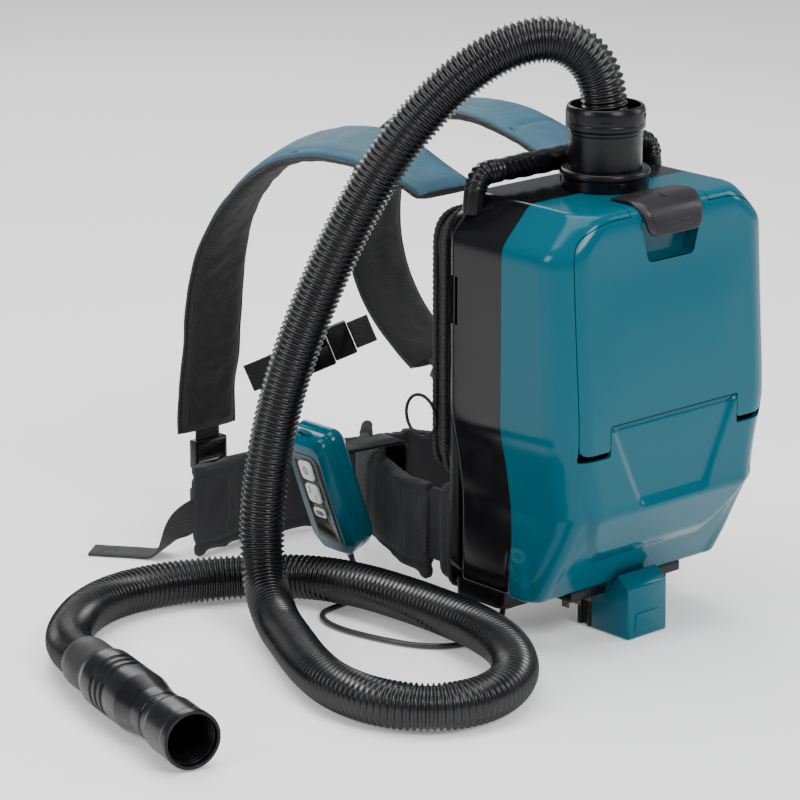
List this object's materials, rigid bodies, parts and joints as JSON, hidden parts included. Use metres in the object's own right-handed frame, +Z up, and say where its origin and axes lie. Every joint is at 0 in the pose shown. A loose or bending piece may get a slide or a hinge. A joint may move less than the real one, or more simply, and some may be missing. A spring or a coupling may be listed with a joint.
{
  "type": "backpack vacuum cleaner",
  "caption": "Battery backpack vacuum cleaner with a hinged lid, padded harness, belt remote and corrugated suction hose.",
  "frame": {"origin": "centre of the battery post's bottom face, on the floor", "axes": "+Z up, -Y out of the lid, +Y towards the wearer's back pad, +X to the right seen from the front"},
  "size_m": [0.5793, 0.5375, 0.4843],
  "materials": {
    "teal_shell": "glossy moulded plastic",
    "black_shell": "glossy moulded plastic",
    "black_plastic": "fine satin plastic",
    "grey_plastic": "satin plastic",
    "latch_plastic": "satin plastic",
    "steel": "drawn and turned",
    "contacts": "stamped strip",
    "foam": "open-cell foam",
    "bag": "non-woven filter cloth",
    "card": "pressed board",
    "seal": "soft rubber",
    "board": "laminate",
    "teal_fabric": "coated woven fabric over foam",
    "black_fabric": "woven fabric and mesh over foam",
    "webbing": "woven strap",
    "white_button": "satin",
    "hose_plastic": "ribbed flexible plastic",
    "cable": "smooth sheath"
  },
  "bodies": {
    "machine": {"rear_casing": "black_shell", "front_casing": "teal_shell", "lid_pins": "steel", "chamber_frame": "grey_plastic", "lid_seal": "seal", "bulkhead": "grey_plastic", "foam_filter": "foam", "dust_bag": "bag", "bag_collar": "card", "inlet_ring": "black_plastic", "hose_swivel": "black_plastic", "motor_shell": "grey_plastic", "motor_frame": "grey_plastic", "motor_mounts": "seal", "motor_stator": "steel", "motor_bearings": "steel", "controller_board": "board", "terminal_blocks": "black_plastic", "terminal_blades": "contacts", "post_cover": "teal_shell", "post_rail": "black_plastic", "base_plate": "black_plastic", "exhaust_filter": "foam", "back_frame": "black_plastic", "casing_screws": "steel", "carry_handle": "black_plastic", "back_pad": "black_fabric", "lumbar_pad": "black_fabric", "strap_left": "teal_fabric", "strap_right": "teal_fabric", "wing_left": "black_fabric", "wing_right": "black_fabric", "ladder_locks": "black_plastic", "lower_webbing": "webbing", "strap_tail": "webbing", "sternum_strap": "webbing", "buckle_socket": "black_plastic", "buckle_prong": "black_plastic", "cord_keeper": "steel", "remote_front": "teal_shell", "remote_label": "black_plastic", "remote_board": "board", "remote_back": "teal_shell", "remote_clip": "teal_shell", "remote_relief": "seal", "remote_cord": "cable", "hose": "hose_plastic", "cuff_sleeve": "seal", "cuff_body": "black_plastic", "cuff_tip": "black_plastic"},
    "lid": {"lid": "teal_shell", "latch_pin": "steel"},
    "latch": {"latch": "latch_plastic"},
    "fan": {"rotor": "steel", "impeller": "grey_plastic"},
    "hose_cuff": {"hose_cuff": "black_plastic"},
    "button_off": {"button_off": "white_button"},
    "button_speed": {"button_speed": "white_button"},
    "button_check": {"button_check": "white_button"}
  },
  "joints": [
    {"name": "lid_hinge", "type": "hinge", "parent": "machine", "child": "lid", "pos_m": [0, -0.046, 0.175], "axis": [1, 0, 0], "range_deg": [0, 95]},
    {"name": "latch_hinge", "type": "hinge", "parent": "lid", "child": "latch", "pos_m": [0, -0.0145, 0.3506], "axis": [-1, 0, 0], "range_deg": [0, 35], "stiffness_Nm_per_rad": 0.05, "springref_deg": -17.19},
    {"name": "cuff_turn", "type": "hinge", "parent": "machine", "child": "hose_cuff", "pos_m": [0, 0.026, 0.36], "axis": [0, 0, 1], "range_deg": [0, 30]},
    {"name": "fan_spin", "type": "hinge", "parent": "machine", "child": "fan", "pos_m": [0, 0.027, 0.13], "axis": [0, 0, 1], "continuous": true},
    {"name": "button_off_press", "type": "slide", "parent": "machine", "child": "button_off", "axis": [0.9397, 0, 0.342], "range_m": [0, 0.0012], "stiffness_N_per_m": 400, "springref_m": -0.001},
    {"name": "button_speed_press", "type": "slide", "parent": "machine", "child": "button_speed", "axis": [0.9397, 0, 0.342], "range_m": [0, 0.0012], "stiffness_N_per_m": 400, "springref_m": -0.001},
    {"name": "button_check_press", "type": "slide", "parent": "machine", "child": "button_check", "axis": [0.9397, 0, 0.342], "range_m": [0, 0.0012], "stiffness_N_per_m": 300, "springref_m": -0.001}
  ]
}
